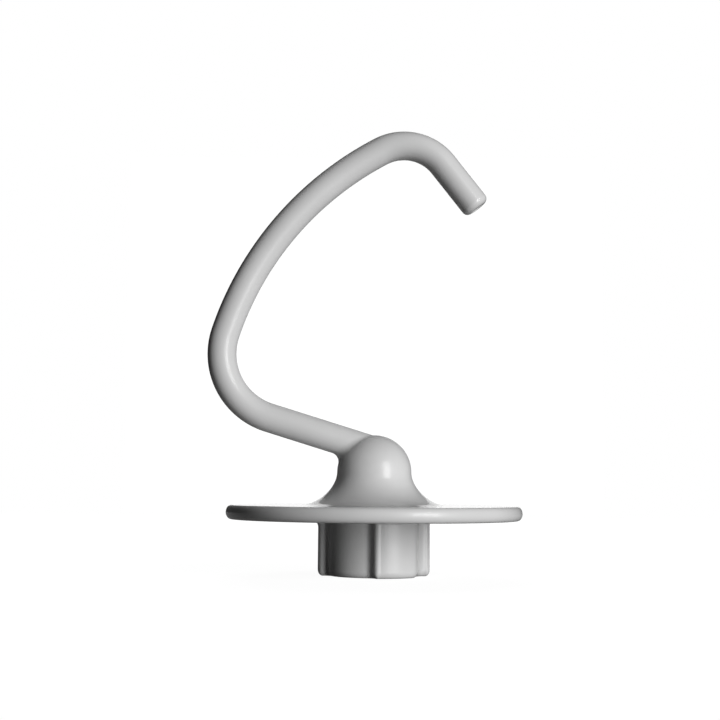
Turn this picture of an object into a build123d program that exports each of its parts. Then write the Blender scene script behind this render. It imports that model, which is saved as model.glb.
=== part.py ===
from build123d import *
import math
import os

# Stand mixer dough hook, cast in one piece and coated. It stands on its hub, with the drive socket's mouth
# at the origin, +Z along the socket into the part, and the hook's arm in the XZ plane, leaning to -X.

# Drive socket: a round shaft slides in, and the cross pin through it turns in a track and drops into a seat.
SHAFT_DIAMETER = 12.7
SHAFT_CLEARANCE = 0.15
SOCKET_DEPTH = 30.0
MOUTH_CHAMFER = 0.6
PIN_DIAMETER = 4.8
PIN_CLEARANCE = 0.6
PIN_REACH = 12.8
PIN_ENTRY_ANGLE = 90.0
PIN_TURN_ANGLE = 55.0
PIN_TRAVEL = 17.5
SEAT_DROP = 2.5

# Hub: a round boss whose front half is sunk, apart from one raised pad. Its plan is given as angles about
# the socket, from the left flank round the front to the right flank: the sunk floors, the pad and the walls
# between them, which lean back from foot to crest. Angles count from the front (-Y) towards +X.
HUB_HEIGHT = 22.1
HUB_RADIUS = 22.25
SUNK_DEPTH = 3.25
SUNK_START_ANGLE = -81.0
FLANK_ANGLE = 3.0
SUNK_ANGLE = 72.9
PAD_RISE_ANGLE = 5.9
PAD_ANGLE = 51.2
PAD_FALL_ANGLE = 14.0
GROOVE_ANGLE = 12.0
WALL_ROUNDING = 1.9
PAD_ROUNDING = 3.0
HUB_END_CHAMFER = 1.1
HUB_ROOT_CHAMFER = 1.1

# Shield disc, with a rim rounded over its whole thickness.
DISC_RADIUS = 59.0
DISC_THICKNESS = 5.7
RIM_ROUNDING = 2.0

# Bell dome: half a ball on a flare that runs out on the disc. The pulls say how far the flare's curve keeps
# to the disc at its foot and to the ball's upright side at its top.
DOME_HEIGHT = 28.0
CROWN_RADIUS = 14.9
FLARE_FOOT_RADIUS = 30.1
FLARE_FOOT_PULL = 8.4
FLARE_TOP_PULL = 5.6

# Hook arm: a round bar of straight runs and tangent bends, given from the dome to the tip.
ARM_DIAMETER = 11.7
ARM_RISE_ANGLE = 17.1
ROOT_COVER = 0.25
ROOT_BLEND = 3.6
LOWER_RUN = 44.5
ELBOW_RADIUS = 27.15
ELBOW_ANGLE = 90.8
BACK_RADIUS = 130.4
BACK_ANGLE = 43.8
CREST_RADIUS = 20.1
CREST_ANGLE = 80.1
TIP_RUN = 23.0
TIP_ROUNDING = 2.6

# A rounding takes no more than this share of the bar's or the step's size, and a chamfer of the rounding
# that it runs round.
TIP_ROUNDING_SHARE = 0.45
STEP_ROUNDING_SHARE = 0.6
CHAMFER_SHARE = 0.75

# Heights and easings that the forms of the casting share.
disc_top = HUB_HEIGHT + DISC_THICKNESS
crown_top = disc_top + DOME_HEIGHT
wall_rounding = min(WALL_ROUNDING, STEP_ROUNDING_SHARE * SUNK_DEPTH)
most_hub_chamfer = CHAMFER_SHARE * wall_rounding


def on_hub(radius, angle):
    """A point of the hub's plan, with the angle counted from the front towards +X."""
    turn = math.radians(angle)
    return Vector(radius * math.sin(turn), -radius * math.cos(turn))


def hub_arc(radius, start_angle, end_angle):
    """An arc of the hub's plan about the socket's axis."""
    middle_angle = (start_angle + end_angle) / 2
    return ThreePointArc(*(on_hub(radius, angle) for angle in (start_angle, middle_angle, end_angle)))


def hub_plan():
    """The hub's outline: raised flanks and back, a sunk front, and the raised pad on it."""
    sunk_radius = HUB_RADIUS - SUNK_DEPTH
    sunk_start = SUNK_START_ANGLE + FLANK_ANGLE
    sunk_end = sunk_start + SUNK_ANGLE
    pad_start = sunk_end + PAD_RISE_ANGLE
    pad_end = pad_start + PAD_ANGLE
    groove_start = pad_end + PAD_FALL_ANGLE
    groove_end = groove_start + GROOVE_ANGLE
    sunk = hub_arc(sunk_radius, sunk_start, sunk_end)
    pad = hub_arc(HUB_RADIUS, pad_start, pad_end)
    groove = hub_arc(sunk_radius, groove_start, groove_end)
    back = hub_arc(HUB_RADIUS, groove_end + FLANK_ANGLE, 360 + SUNK_START_ANGLE)
    left_flank = Line(back @ 1, sunk @ 0)
    pad_rise = Line(sunk @ 1, pad @ 0)
    pad_fall = Line(pad @ 1, groove @ 0)
    right_flank = Line(groove @ 1, back @ 0)
    plan = make_face(left_flank + sunk + pad_rise + pad + pad_fall + groove + right_flank + back)
    for wall in (left_flank, pad_fall, right_flank):
        plan = fillet(plan.vertices().sort_by_distance(wall @ 0.5)[:2], wall_rounding)
    return fillet(plan.vertices().sort_by_distance(pad_rise @ 0.5)[:2], min(PAD_ROUNDING, SUNK_DEPTH))


def hub():
    """The boss that holds the drive socket. It runs into the disc, and its outer end is eased."""
    boss = extrude(hub_plan(), HUB_HEIGHT + DISC_THICKNESS / 2)
    return chamfer(boss.edges().group_by(Axis.Z)[0], min(HUB_END_CHAMFER, most_hub_chamfer))


def bell():
    """The shield disc and the dome on it, turned from one profile: underside, rim, flat, flare and crown."""
    half_thickness = DISC_THICKNESS / 2
    rim_centre = Vector(DISC_RADIUS - RIM_ROUNDING, HUB_HEIGHT + half_thickness)
    equator = Vector(CROWN_RADIUS, crown_top - CROWN_RADIUS)
    foot = Vector(FLARE_FOOT_RADIUS, disc_top)
    foot_pull = foot - Vector(FLARE_FOOT_PULL, 0)
    top_pull = equator - Vector(0, FLARE_TOP_PULL)
    underside = Line((0, HUB_HEIGHT), (rim_centre.X, HUB_HEIGHT))
    rim = EllipticalCenterArc(rim_centre, RIM_ROUNDING, half_thickness, start_angle=-90, arc_size=180)
    flat = Line(rim @ 1, foot)
    flare = Bezier(foot, foot_pull, top_pull, equator)
    crown = CenterArc((0, equator.Y), CROWN_RADIUS, 0, 90)
    axis = Line(crown @ 1, underside @ 0)
    profile = make_face(underside + rim + flat + flare + crown + axis)
    return revolve(Plane.XZ * profile, Axis.Z)


def arm():
    """The hook's round bar, swept from the socket's axis inside the dome to its rounded tip."""
    radius = ARM_DIAMETER / 2
    rise = math.radians(ARM_RISE_ANGLE)
    root = Vector(0, crown_top - ROOT_COVER - radius / math.cos(rise))
    lower = Line(root, root + Vector(-math.cos(rise), math.sin(rise)) * LOWER_RUN)
    elbow = JernArc(lower @ 1, lower % 1, ELBOW_RADIUS, -ELBOW_ANGLE)
    back = JernArc(elbow @ 1, elbow % 1, BACK_RADIUS, -BACK_ANGLE)
    crest = JernArc(back @ 1, back % 1, CREST_RADIUS, -CREST_ANGLE)
    tip = Line(crest @ 1, crest @ 1 + (crest % 1) * TIP_RUN)
    path = Plane.XZ * (lower + elbow + back + crest + tip)
    section = Plane(origin=path @ 0, z_dir=path % 0) * Circle(radius)
    bar = sweep(section, path)
    tip_face = bar.faces().sort_by_distance(path @ 1)[0]
    return fillet(tip_face.edges(), min(TIP_ROUNDING, TIP_ROUNDING_SHARE * ARM_DIAMETER))


def pin_slot(angle, low, high):
    """The room for the pin on one side of the shaft, from one height to another."""
    reach = PIN_REACH + PIN_CLEARANCE
    width = PIN_DIAMETER + 2 * PIN_CLEARANCE
    slot = Box(reach, width, high - low, align=(Align.MIN, Align.CENTER, Align.MIN))
    return Pos(0, 0, low) * Rot(0, 0, angle) * (slot & Cylinder(reach, high - low, align=None))


def drive_socket():
    """The hollow in the hub: shaft bore, entry slot, turning track and locking seat."""
    track_low = PIN_TRAVEL - PIN_DIAMETER - 2 * PIN_CLEARANCE
    bore = Cylinder(SHAFT_DIAMETER / 2 + SHAFT_CLEARANCE, SOCKET_DEPTH, align=None)
    entry = pin_slot(PIN_ENTRY_ANGLE, 0, PIN_TRAVEL)
    sector = Cylinder(PIN_REACH + PIN_CLEARANCE, PIN_TRAVEL - track_low, arc_size=PIN_TURN_ANGLE, align=None)
    track = Pos(0, 0, track_low) * Rot(0, 0, PIN_ENTRY_ANGLE) * sector
    seat = pin_slot(PIN_ENTRY_ANGLE + PIN_TURN_ANGLE, track_low - SEAT_DROP, PIN_TRAVEL)
    return bore + entry + track + seat


def dough_hook():
    """The whole casting: the bell with the hub and the arm grown from it, and the socket cut in the hub."""
    dome = bell()
    boss = hub()
    bar = arm()
    casting = dome + boss
    hub_root = new_edges(dome, boss, combined=casting)
    stem = chamfer(hub_root, min(HUB_ROOT_CHAMFER, most_hub_chamfer))
    casting = stem + bar
    arm_root = new_edges(stem, bar, combined=casting)
    casting = fillet(arm_root, ROOT_BLEND) - drive_socket()
    mouth = casting.faces().sort_by(Axis.Z)[0].inner_wires()[0]
    return chamfer(mouth.edges(), MOUTH_CHAMFER)


os.makedirs("parts", exist_ok=True)
export_step(dough_hook(), "parts/dough_hook.step")
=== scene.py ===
import bmesh
import bpy
import math
from mathutils import Matrix, Vector


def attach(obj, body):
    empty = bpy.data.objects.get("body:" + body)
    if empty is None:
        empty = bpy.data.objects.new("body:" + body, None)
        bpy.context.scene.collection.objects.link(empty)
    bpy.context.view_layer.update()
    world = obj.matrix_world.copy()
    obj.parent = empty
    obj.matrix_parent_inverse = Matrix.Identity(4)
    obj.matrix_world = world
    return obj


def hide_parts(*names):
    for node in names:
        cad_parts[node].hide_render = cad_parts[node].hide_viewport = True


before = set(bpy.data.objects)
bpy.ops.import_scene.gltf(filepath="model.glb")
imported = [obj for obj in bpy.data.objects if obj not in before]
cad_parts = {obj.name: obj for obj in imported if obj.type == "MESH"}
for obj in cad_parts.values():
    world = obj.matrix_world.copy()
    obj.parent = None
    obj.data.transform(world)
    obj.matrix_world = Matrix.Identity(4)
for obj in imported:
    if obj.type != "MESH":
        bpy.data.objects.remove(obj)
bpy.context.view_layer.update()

# Dough hook: one aluminium casting, with its hub, shield disc, bell dome and round arm grown into each
# other by cast roundings, and a drive socket in the hub. It is coated all over in a light grey enamel,
# sprayed on and baked, which flows a little at the edges and dries with a faint orange peel.
MM = 0.001
COLUMNS = 180
hook_mesh = bmesh.new()


def row(points):
    """Adds one closed row of points, given in millimetres."""
    return [hook_mesh.verts.new(Vector(point) * MM) for point in points]


def skin(rows):
    """Joins neighbouring rows of equal count with a band of faces."""
    for first, second in zip(rows, rows[1:]):
        for k in range(len(first)):
            hook_mesh.faces.new((first[k - 1], first[k], second[k], second[k - 1]))


def shares(count):
    """Even shares from 0 to 1, both ends included."""
    return [i / count for i in range(count + 1)]


# The arm is a round bar in the XZ plane that leaves the dome rising to the left, turns over the elbow, the
# long back and the crest, and ends in a rounded tip. Its root runs into the dome's ball with a rolled blend.
# The bends are given from the dome to the tip, each by its radius, its angle and its rows of faces.
ARM_RADIUS = 5.85
ARM_RISE_ANGLE = 17.1
CROWN_RADIUS = 14.9
CROWN_CENTRE = Vector((0, 0, 40.9))
ROOT_COVER = 0.25
ROOT_BLEND = 3.6
ROOT_END = 20.0
LOWER_RUN = 44.5
BENDS = ((27.15, 90.8, 30), (130.4, 43.8, 44), (20.1, 80.1, 27))
TIP_RUN = 23.0
TIP_ROUNDING = 2.6
BLEND_ROWS = 10
ROOT_ROWS = 8
LOWER_ROWS = 12
TIP_ROWS = 10
TIP_ROUNDING_ROWS = 8

heading = math.radians(180 - ARM_RISE_ANGLE)
along = Vector((math.cos(heading), 0, math.sin(heading)))
inward = Vector((math.sin(heading), 0, -math.cos(heading)))
aside = Vector((0, 1, 0))
arm_start = CROWN_CENTRE + Vector((0, 0, CROWN_RADIUS - ROOT_COVER + ARM_RADIUS / math.cos(heading)))
turns = [math.tau * k / COLUMNS for k in range(COLUMNS)]


def section(centre, inner_side, radius):
    """The points of the bar's round section about a point of its centre line."""
    return [centre + (inner_side * math.cos(turn) + aside * math.sin(turn)) * radius for turn in turns]


# The blend is the path of a ball that rolls round the root, touching the bar and the crown.
bar_contact = []
crown_contact = []
roll_centre = []
contact_run = []
for turn in turns:
    out = inward * math.cos(turn) + aside * math.sin(turn)
    offset = arm_start - CROWN_CENTRE + out * (ARM_RADIUS + ROOT_BLEND)
    slope = offset.dot(along)
    run = -slope + math.sqrt(slope**2 - offset.length_squared + (CROWN_RADIUS + ROOT_BLEND) ** 2)
    ball = arm_start + along * run + out * (ARM_RADIUS + ROOT_BLEND)
    roll_centre.append(ball)
    contact_run.append(run)
    bar_contact.append(ball - out * ROOT_BLEND)
    crown_contact.append(CROWN_CENTRE + (ball - CROWN_CENTRE).normalized() * CROWN_RADIUS)

blend_rows = []
for share in shares(BLEND_ROWS):
    points = []
    for ball, low, high in zip(roll_centre, crown_contact, bar_contact):
        points.append(ball + (low - ball).slerp(high - ball, share) * ROOT_BLEND)
    blend_rows.append(row(points))

arm_rows = [blend_rows[-1]]
for share in shares(ROOT_ROWS)[1:]:
    points = []
    for turn, run in zip(turns, contact_run):
        out = inward * math.cos(turn) + aside * math.sin(turn)
        points.append(arm_start + along * (run + (ROOT_END - run) * share) + out * ARM_RADIUS)
    arm_rows.append(row(points))
for share in shares(LOWER_ROWS)[1:]:
    centre = arm_start + along * (ROOT_END + (LOWER_RUN - ROOT_END) * share)
    arm_rows.append(row(section(centre, inward, ARM_RADIUS)))
for bend_radius, bend_angle, bend_rows in BENDS:
    pivot = centre + inward * bend_radius
    for share in shares(bend_rows)[1:]:
        swing = Matrix.Rotation(math.radians(bend_angle * share), 3, "Y")
        centre = pivot - swing @ inward * bend_radius
        arm_rows.append(row(section(centre, swing @ inward, ARM_RADIUS)))
    along = swing @ along
    inward = swing @ inward
round_start = centre + along * (TIP_RUN - TIP_ROUNDING)
for share in shares(TIP_ROWS)[1:]:
    arm_rows.append(row(section(centre.lerp(round_start, share), inward, ARM_RADIUS)))
for share in shares(TIP_ROUNDING_ROWS)[1:]:
    lean = math.radians(90 * share)
    reach = round_start + along * TIP_ROUNDING * math.sin(lean)
    arm_rows.append(row(section(reach, inward, ARM_RADIUS - TIP_ROUNDING * (1 - math.cos(lean)))))
skin(blend_rows)
skin(arm_rows)
hook_mesh.faces.new(arm_rows[-1])

# The bell is turned about the socket's axis: a half ball as the crown, a flare that runs out on the disc,
# and the disc's rim, rounded over its whole thickness. The crown's faces run from the arm's root to the
# ball's equator.
DISC_UNDER = 22.1
DISC_TOP = 27.8
DISC_RADIUS = 59.0
RIM_ROUNDING = 2.0
FLARE_FOOT_RADIUS = 30.1
FLARE_FOOT_PULL = 8.4
FLARE_TOP_PULL = 5.6
CROWN_ROWS = 24
FLARE_ROWS = 20
DISC_ROWS = 8
RIM_ROWS = 18

root_middle = sum((point - CROWN_CENTRE for point in crown_contact), Vector()).normalized()
equator = []
for point in crown_contact:
    away = (point - CROWN_CENTRE).normalized()
    level = away.cross(root_middle).cross(Vector((0, 0, 1))).normalized()
    if level.dot(away - root_middle * away.dot(root_middle)) < 0:
        level = -level
    equator.append(level)
crown_rows = [blend_rows[0]]
for share in shares(CROWN_ROWS)[1:]:
    points = []
    for point, level in zip(crown_contact, equator):
        away = (point - CROWN_CENTRE).normalized()
        points.append(CROWN_CENTRE + away.slerp(level, share) * CROWN_RADIUS)
    crown_rows.append(row(points))
skin(crown_rows)

profile = []
pulls = (
    Vector((CROWN_RADIUS, CROWN_CENTRE.z)),
    Vector((CROWN_RADIUS, CROWN_CENTRE.z - FLARE_TOP_PULL)),
    Vector((FLARE_FOOT_RADIUS - FLARE_FOOT_PULL, DISC_TOP)),
    Vector((FLARE_FOOT_RADIUS, DISC_TOP)),
)
for share in shares(FLARE_ROWS)[1:]:
    rest = 1 - share
    weights = (rest**3, 3 * rest**2 * share, 3 * rest * share**2, share**3)
    profile.append(sum((pull * weight for pull, weight in zip(pulls, weights)), Vector((0, 0))))
rim_start = Vector((DISC_RADIUS - RIM_ROUNDING, DISC_TOP))
for share in shares(DISC_ROWS)[1:]:
    profile.append(pulls[-1].lerp(rim_start, share))
half_thickness = (DISC_TOP - DISC_UNDER) / 2
for share in shares(RIM_ROWS)[1:]:
    lean = math.pi * share
    reach = rim_start.x + RIM_ROUNDING * math.sin(lean)
    profile.append(Vector((reach, DISC_UNDER + half_thickness * (1 + math.cos(lean)))))
bell_rows = [crown_rows[-1]]
for reach, height in profile:
    bell_rows.append(row((level.x * reach, level.y * reach, height) for level in equator))
skin(bell_rows)

# The hub is a round boss whose front half is sunk, apart from one raised pad. Its plan is a run of arcs
# about the socket, and between them leaning walls with rounded feet and crests. Angles count from the front
# towards +X. Along the pad's left crest the coating has run into a low bead.
HUB_RADIUS = 22.25
SUNK_RADIUS = 19.0
LEFT_FLANK_ANGLE = 3.5
SUNK_START = -74.0
SUNK_END = -5.1
PAD_START = 0.8
PAD_END = 48.5
GROOVE_START = 67.5
GROOVE_END = 78.0
RIGHT_FLANK_ANGLE = 3.0
WALL_ROUNDING = 1.9
LEFT_FOOT_ROUNDING = 2.1
RIGHT_FOOT_ROUNDING = 2.8
PAD_FOOT_ROUNDING = 3.0
PAD_CREST_ROUNDING = 2.0
PAD_END_ROUNDING = 7.0
BEAD_HEIGHT = 0.2
BEAD_PLACE = 1.2
BEAD_HALF_WIDTH = 1.6
ROOT_EASING = 1.6
RIGHT_ROOT_EASING = 2.2
LEFT_ROOT_EASING = 3.2
END_INSET = 1.75
END_RISE = 2.5
FLANK_STEPS = 8
PAD_RISE_STEPS = 16
PAD_FALL_STEPS = 12
PAD_STEPS = 100
SUNK_STEPS = 40
GROOVE_STEPS = 6
BACK_STEPS = 100
EASING_ROWS = 8
WALL_ROWS = 9
END_ROWS = 12


def on_hub(radius, angle):
    """A point of the hub's plan, with the angle counted from the front towards +X."""
    return Vector((math.sin(math.radians(angle)), -math.cos(math.radians(angle)))) * radius


def rounded_wall(foot_angle, crest_angle, foot_rounding, crest_rounding, steps):
    """The plan of one wall, from the sunk floor up to the raised face: points and their outward ways."""
    foot = on_hub(SUNK_RADIUS, foot_angle)
    climb = (on_hub(HUB_RADIUS, crest_angle) - foot).normalized()
    open_side = Vector((climb.y, -climb.x))
    if open_side.dot(on_hub(1, foot_angle) - on_hub(1, crest_angle)) < 0:
        open_side = -open_side
    points = []
    for side, rounding in ((1, foot_rounding), (-1, crest_rounding)):
        radius = SUNK_RADIUS + rounding if side == 1 else HUB_RADIUS - rounding
        base = foot + open_side * rounding * side
        slope = base.dot(climb)
        reach = -slope + math.sqrt(slope**2 - base.length_squared + radius**2)
        pivot = base + climb * reach
        floor_way = pivot.normalized() * -side
        wall_way = open_side * -side
        start, end = (floor_way, wall_way) if side == 1 else (wall_way, floor_way)
        for share in shares(steps):
            way = start.slerp(end, share)
            points.append((pivot + way * rounding, way * -side))
    return points


def hub_arc(radius, start, end, steps):
    """The plan of one arc between two angles, both ends left out: points and their outward ways."""
    angles = [start + (end - start) * share for share in shares(steps)[1:-1]]
    return [(on_hub(radius, angle), on_hub(1, angle)) for angle in angles]


def angle_of(point):
    """The angle of a plan point from the front towards +X."""
    return math.degrees(math.atan2(point.x, -point.y))


def with_bead(point, way):
    """A plan point of the pad with its outward way, lifted where the coating's bead is."""
    away = min(abs(point.x - BEAD_PLACE) / BEAD_HALF_WIDTH, 1)
    return point + way * BEAD_HEIGHT * math.cos(math.pi / 2 * away) ** 2, way


left_crest = SUNK_START - LEFT_FLANK_ANGLE
right_crest = GROOVE_END + RIGHT_FLANK_ANGLE
left_flank = rounded_wall(SUNK_START, left_crest, LEFT_FOOT_ROUNDING, WALL_ROUNDING, FLANK_STEPS)[::-1]
pad_rise = rounded_wall(SUNK_END, PAD_START, PAD_FOOT_ROUNDING, PAD_CREST_ROUNDING, PAD_RISE_STEPS)
pad_fall = rounded_wall(GROOVE_START, PAD_END, WALL_ROUNDING, PAD_END_ROUNDING, PAD_FALL_STEPS)[::-1]
right_flank = rounded_wall(GROOVE_END, right_crest, RIGHT_FOOT_ROUNDING, WALL_ROUNDING, FLANK_STEPS)
pad = hub_arc(HUB_RADIUS, angle_of(pad_rise[-1][0]), angle_of(pad_fall[0][0]), PAD_STEPS)
plan = list(left_flank)
plan += hub_arc(SUNK_RADIUS, angle_of(left_flank[-1][0]), angle_of(pad_rise[0][0]), SUNK_STEPS)
plan += [with_bead(point, way) for point, way in pad_rise + pad]
plan += pad_fall
plan += hub_arc(SUNK_RADIUS, angle_of(pad_fall[-1][0]), angle_of(right_flank[0][0]), GROOVE_STEPS)
plan += right_flank
plan += hub_arc(HUB_RADIUS, angle_of(right_flank[-1][0]), angle_of(left_flank[0][0]) + 360, BACK_STEPS)


def root_easing(point):
    """The size of the hub's rounding into the disc at a plan point. It grows over the flanks to the back."""
    if SUNK_START < angle_of(point) < GROOVE_END:
        return ROOT_EASING
    raised = (point.length - SUNK_RADIUS) / (HUB_RADIUS - SUNK_RADIUS)
    leftward = (HUB_RADIUS - point.x) / (2 * HUB_RADIUS)
    raised_easing = RIGHT_ROOT_EASING + (LEFT_ROOT_EASING - RIGHT_ROOT_EASING) * leftward
    return ROOT_EASING + (raised_easing - ROOT_EASING) * raised**3


easings = [root_easing(point) for point, way in plan]
hub_rows = []
for share in shares(EASING_ROWS):
    lean = math.radians(90 * share)
    points = []
    for (point, way), easing in zip(plan, easings):
        spread = easing * (1 - math.sin(lean))
        points.append((*(point + way * spread), DISC_UNDER - easing * (1 - math.cos(lean))))
    hub_rows.append(row(points))
for share in shares(WALL_ROWS)[1:]:
    points = []
    for (point, way), easing in zip(plan, easings):
        points.append((*point, DISC_UNDER - easing + (easing + END_RISE - DISC_UNDER) * share))
    hub_rows.append(row(points))
for share in shares(END_ROWS)[1:]:
    lean = math.radians(90 * share)
    spread = END_INSET * (math.cos(lean) - 1)
    height = END_RISE * (1 - math.sin(lean))
    hub_rows.append(row((*(point + way * spread), height) for point, way in plan))
skin(hub_rows)

# The drive socket is a blind round bore. A cross pin on the mixer's shaft enters by the slot at the back,
# turns in the track and drops into the seat. Angles count from +X towards the back.
BORE_RADIUS = 6.5
SLOT_HALF_WIDTH = 3.0
SLOT_REACH = 13.4
ENTRY_ANGLE = 90.0
SEAT_ANGLE = 145.0
MOUTH_CHAMFER = 0.6
SEAT_LOW = 9.0
TRACK_LOW = 11.5
TRACK_HIGH = 17.5
SOCKET_DEPTH = 30.0
BORE_STEP_ANGLE = 3
WELD_DISTANCE = 0.002
SHARP_ANGLE = 35


def slot_reach(angle, middle, widen):
    """How far the bore and one slot reach from the axis at an angle, with their edges moved out."""
    bore = BORE_RADIUS + widen
    reach = SLOT_REACH + widen
    half_width = SLOT_HALF_WIDTH + widen
    swing = abs((angle - middle + 180) % 360 - 180)
    if swing >= 90:
        return bore
    sideways = math.sin(math.radians(swing))
    if reach * sideways <= half_width:
        return reach
    return max(bore, half_width / sideways)


corners = set(range(0, 360, BORE_STEP_ANGLE))
for middle in (ENTRY_ANGLE, SEAT_ANGLE):
    for widen in (0, MOUTH_CHAMFER):
        for reach in (BORE_RADIUS, SLOT_REACH):
            half_swing = math.degrees(math.asin((SLOT_HALF_WIDTH + widen) / (reach + widen)))
            corners |= {middle - half_swing, middle + half_swing}
bearings = sorted(corners)
mouth = [slot_reach(bearing, ENTRY_ANGLE, MOUTH_CHAMFER) for bearing in bearings]
entry = [slot_reach(bearing, ENTRY_ANGLE, 0) for bearing in bearings]
seat = [max(reach, slot_reach(bearing, SEAT_ANGLE, 0)) for reach, bearing in zip(entry, bearings)]
track = []
for reach, bearing in zip(seat, bearings):
    track.append(SLOT_REACH if ENTRY_ANGLE <= bearing <= SEAT_ANGLE else reach)
bore = [BORE_RADIUS] * len(bearings)
levels = (
    (mouth, 0), (entry, MOUTH_CHAMFER), (entry, SEAT_LOW), (seat, SEAT_LOW), (seat, TRACK_LOW),
    (track, TRACK_LOW), (track, TRACK_HIGH), (bore, TRACK_HIGH), (bore, SOCKET_DEPTH),
)
socket_rows = []
for reaches, height in levels:
    points = []
    for bearing, reach in zip(bearings, reaches):
        turn = math.radians(bearing)
        points.append((reach * math.cos(turn), reach * math.sin(turn), height))
    socket_rows.append(row(points))
skin(socket_rows)
hook_mesh.faces.new(socket_rows[-1])


def fill_between(outer, inner):
    """Fills the flat ring between two rows of one height."""
    edges = []
    for loop in (outer, inner):
        for k in range(len(loop)):
            edges.append(hook_mesh.edges.get((loop[k - 1], loop[k])))
    bmesh.ops.triangle_fill(hook_mesh, use_beauty=True, edges=edges)


fill_between(bell_rows[-1], hub_rows[0])
fill_between(hub_rows[-1], socket_rows[0])
bmesh.ops.remove_doubles(hook_mesh, verts=hook_mesh.verts, dist=WELD_DISTANCE * MM)
bmesh.ops.recalc_face_normals(hook_mesh, faces=hook_mesh.faces)

casting = bpy.data.meshes.new("dough_hook_casting")
hook_mesh.to_mesh(casting)
hook_mesh.free()
casting.polygons.foreach_set("use_smooth", [True] * len(casting.polygons))
casting.set_sharp_from_angle(angle=math.radians(SHARP_ANGLE))
hook = bpy.data.objects.new("dough_hook_casting", casting)
bpy.context.scene.collection.objects.link(hook)
even_shading = hook.modifiers.new("even_shading", "WEIGHTED_NORMAL")
even_shading.keep_sharp = True

# The enamel is a light grey that clouds by a few percent where it was sprayed thicker, satin underneath and
# glossy at its skin. Its bumps are the slow waves of the casting below and the fine orange peel of the spray.
THIN_GREY = 0.565
THICK_GREY = 0.595
CLOUD_SCALE = 38.0
SATIN_LOW = 0.32
SATIN_HIGH = 0.37
SATIN_SCALE = 120.0
SATIN_SHINE = 0.25
SKIN_ROUGHNESS = 0.06
SKIN_IOR = 1.15
WAVE_HEIGHT = 0.015
WAVE_SCALE = 75.0
PEEL_HEIGHT = 0.006
PEEL_SCALE = 850.0
NOISE_LOW = 0.35
NOISE_HIGH = 0.65

coating = bpy.data.materials.new("light_grey_enamel")
coating.use_nodes = True
enamel_nodes = coating.node_tree.nodes
enamel_links = coating.node_tree.links
enamel = enamel_nodes["Principled BSDF"]
enamel.inputs["Specular IOR Level"].default_value = SATIN_SHINE
enamel.inputs["Coat Weight"].default_value = 1.0
enamel.inputs["Coat Roughness"].default_value = SKIN_ROUGHNESS
enamel.inputs["Coat IOR"].default_value = SKIN_IOR
on_casting = enamel_nodes.new("ShaderNodeTexCoord")


def uneven(scale, detail):
    """Soft noise over the casting, with its scale in patches to the metre."""
    noise = enamel_nodes.new("ShaderNodeTexNoise")
    noise.inputs["Scale"].default_value = scale
    noise.inputs["Detail"].default_value = detail
    enamel_links.new(on_casting.outputs["Object"], noise.inputs["Vector"])
    return noise.outputs["Fac"]


def bumps(height, scale, detail, below):
    """Bumps of one height in millimetres, laid over those below."""
    bump = enamel_nodes.new("ShaderNodeBump")
    bump.inputs["Distance"].default_value = height * MM
    enamel_links.new(uneven(scale, detail), bump.inputs["Height"])
    if below:
        enamel_links.new(below, bump.inputs["Normal"])
    return bump.outputs["Normal"]


clouds = enamel_nodes.new("ShaderNodeValToRGB")
clouds.color_ramp.elements[0].position = NOISE_LOW
clouds.color_ramp.elements[0].color = (THIN_GREY, THIN_GREY, THIN_GREY, 1)
clouds.color_ramp.elements[1].position = NOISE_HIGH
clouds.color_ramp.elements[1].color = (THICK_GREY, THICK_GREY, THICK_GREY, 1)
enamel_links.new(uneven(CLOUD_SCALE, detail=3), clouds.inputs["Fac"])
enamel_links.new(clouds.outputs["Color"], enamel.inputs["Base Color"])
satin = enamel_nodes.new("ShaderNodeMapRange")
satin.inputs["From Min"].default_value = NOISE_LOW
satin.inputs["From Max"].default_value = NOISE_HIGH
satin.inputs["To Min"].default_value = SATIN_LOW
satin.inputs["To Max"].default_value = SATIN_HIGH
enamel_links.new(uneven(SATIN_SCALE, detail=2), satin.inputs["Value"])
enamel_links.new(satin.outputs["Result"], enamel.inputs["Roughness"])
waves = bumps(WAVE_HEIGHT, WAVE_SCALE, detail=1, below=None)
orange_peel = bumps(PEEL_HEIGHT, PEEL_SCALE, detail=2, below=waves)
enamel_links.new(orange_peel, enamel.inputs["Normal"])
enamel_links.new(orange_peel, enamel.inputs["Coat Normal"])
casting.materials.append(coating)
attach(hook, "root")
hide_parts("dough_hook")

# Floor and backdrop: a translucent white table top, which lets the softbox's light through from below, and
# a low white card some way behind. Camera, mirror and glass rays see both, and the table shows the hook's
# shadow. The room around them is dark, and only the camera sees it white.
FLOOR_HALF = 1.0
CARD_HALF = 0.3
CARD_HEIGHT = 0.45
CARD_BEHIND = 1.2
ROOM_GREY = 0.02


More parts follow.
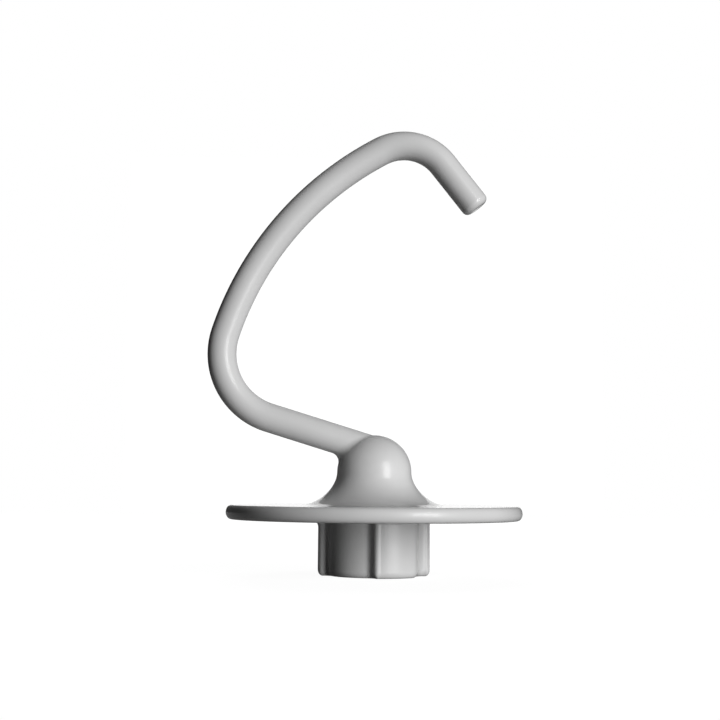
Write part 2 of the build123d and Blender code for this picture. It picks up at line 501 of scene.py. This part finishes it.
def white_paper(name, seen, mirrored, tone):
    """Paper that glows for the camera, at its own strength in mirrors and glass, and is dull otherwise."""
    paper = bpy.data.materials.new(name)
    paper.use_nodes = True
    nodes = paper.node_tree.nodes
    links = paper.node_tree.links
    nodes.clear()
    dull = nodes.new("ShaderNodeBsdfDiffuse")
    dull.inputs["Color"].default_value = (tone, tone, tone, 1)
    path = nodes.new("ShaderNodeLightPath")
    either = nodes.new("ShaderNodeMath")
    either.operation = "MAXIMUM"
    links.new(path.outputs["Is Glossy Ray"], either.inputs[0])
    links.new(path.outputs["Is Transmission Ray"], either.inputs[1])
    mirror = nodes.new("ShaderNodeMath")
    mirror.operation = "MULTIPLY"
    links.new(either.outputs[0], mirror.inputs[0])
    mirror.inputs[1].default_value = mirrored
    strength = nodes.new("ShaderNodeMath")
    strength.operation = "MULTIPLY_ADD"
    links.new(path.outputs["Is Camera Ray"], strength.inputs[0])
    strength.inputs[1].default_value = seen
    links.new(mirror.outputs[0], strength.inputs[2])
    glow = nodes.new("ShaderNodeEmission")
    links.new(strength.outputs[0], glow.inputs["Strength"])
    both = nodes.new("ShaderNodeAddShader")
    links.new(dull.outputs[0], both.inputs[0])
    links.new(glow.outputs[0], both.inputs[1])
    output = nodes.new("ShaderNodeOutputMaterial")
    links.new(both.outputs[0], output.inputs["Surface"])
    return paper


def sheet(name, corners, material):
    """A flat sheet of the studio, which isn't part of the hook."""
    mesh = bpy.data.meshes.new(name)
    mesh.from_pydata(corners, [], [(0, 1, 2, 3)])
    mesh.materials.append(material)
    piece = bpy.data.objects.new(name, mesh)
    bpy.context.scene.collection.objects.link(piece)
    return piece


floor_corners = [(-FLOOR_HALF, -FLOOR_HALF, 0), (FLOOR_HALF, -FLOOR_HALF, 0)]
floor_corners += [(FLOOR_HALF, FLOOR_HALF, 0), (-FLOOR_HALF, FLOOR_HALF, 0)]
table_white = white_paper("table_white", seen=0.95, mirrored=0.08, tone=0.13)
table_top = sheet("table_top", floor_corners, table_white)
table_top.visible_shadow = False
card_corners = [(-CARD_HALF, CARD_BEHIND, 0), (CARD_HALF, CARD_BEHIND, 0)]
card_corners += [(CARD_HALF, CARD_BEHIND, CARD_HEIGHT), (-CARD_HALF, CARD_BEHIND, CARD_HEIGHT)]
card_paper = white_paper("card_paper", seen=1.0, mirrored=1.0, tone=0.1)
sheet("back_card", card_corners, card_paper)

studio = bpy.data.worlds.new("studio")
bpy.context.scene.world = studio
studio.use_nodes = True
room_nodes = studio.node_tree.nodes
room_links = studio.node_tree.links
room_nodes.clear()
seen_by = room_nodes.new("ShaderNodeLightPath")
dark_room = room_nodes.new("ShaderNodeBackground")
dark_room.inputs["Color"].default_value = (ROOM_GREY, ROOM_GREY, ROOM_GREY, 1)
white_room = room_nodes.new("ShaderNodeBackground")
white_room.inputs["Color"].default_value = (1, 1, 1, 1)
room_choice = room_nodes.new("ShaderNodeMixShader")
room_links.new(seen_by.outputs["Is Camera Ray"], room_choice.inputs[0])
room_links.new(dark_room.outputs[0], room_choice.inputs[1])
room_links.new(white_room.outputs[0], room_choice.inputs[2])
room_output = room_nodes.new("ShaderNodeOutputWorld")
room_links.new(room_choice.outputs[0], room_output.inputs["Surface"])

# Studio light: one tall softbox in front of the hook on its right, which reaches from below the table to
# well above the hook, and a weaker one behind it, which lights the far side and shows in no highlight.
AIM_HEIGHT = 0.08


def softbox(name, azimuth, elevation, distance, width, height, power):
    """A rectangular lamp that faces the hook, with its azimuth counted from the front towards +X."""
    lamp = bpy.data.lights.new(name, "AREA")
    lamp.shape = "RECTANGLE"
    lamp.size = width
    lamp.size_y = height
    lamp.energy = power
    holder = bpy.data.objects.new(name, lamp)
    swing = math.radians(azimuth)
    lift = math.radians(elevation)
    way = Vector((math.sin(swing) * math.cos(lift), -math.cos(swing) * math.cos(lift), math.sin(lift)))
    holder.location = Vector((0, 0, AIM_HEIGHT)) + way * distance
    holder.rotation_euler = way.to_track_quat("Z", "Y").to_euler()
    bpy.context.scene.collection.objects.link(holder)
    return holder


softbox("tall_softbox", azimuth=39.5, elevation=8.5, distance=2.2, width=0.88, height=1.66, power=60.0)
back_softbox = softbox(
    "back_softbox", azimuth=183, elevation=30, distance=1.0, width=0.7, height=0.7, power=6.5
)
back_softbox.visible_glossy = False
back_softbox.visible_camera = False

# Camera: a 70 mm lens at the photographed viewing angle, a little above the disc and tilted up. Its place is
# in metres, and its pan, tilt and roll are in degrees.
LENS = 70
SENSOR_WIDTH = 36
CAMERA_PLACE = (-0.005892, -0.562329, 0.036451)
CAMERA_PAN = 0.014
CAMERA_TILT = 95.038
CAMERA_ROLL = 0.426

camera = bpy.data.cameras.new("camera")
camera.lens = LENS
camera.sensor_width = SENSOR_WIDTH
camera_holder = bpy.data.objects.new("camera", camera)
camera_holder.matrix_world = (
    Matrix.Translation(CAMERA_PLACE)
    @ Matrix.Rotation(math.radians(CAMERA_PAN), 4, "Z")
    @ Matrix.Rotation(math.radians(CAMERA_TILT), 4, "X")
    @ Matrix.Rotation(math.radians(CAMERA_ROLL), 4, "Z")
)
bpy.context.scene.collection.objects.link(camera_holder)
bpy.context.scene.camera = camera_holder
bpy.context.scene.view_settings.view_transform = "Standard"
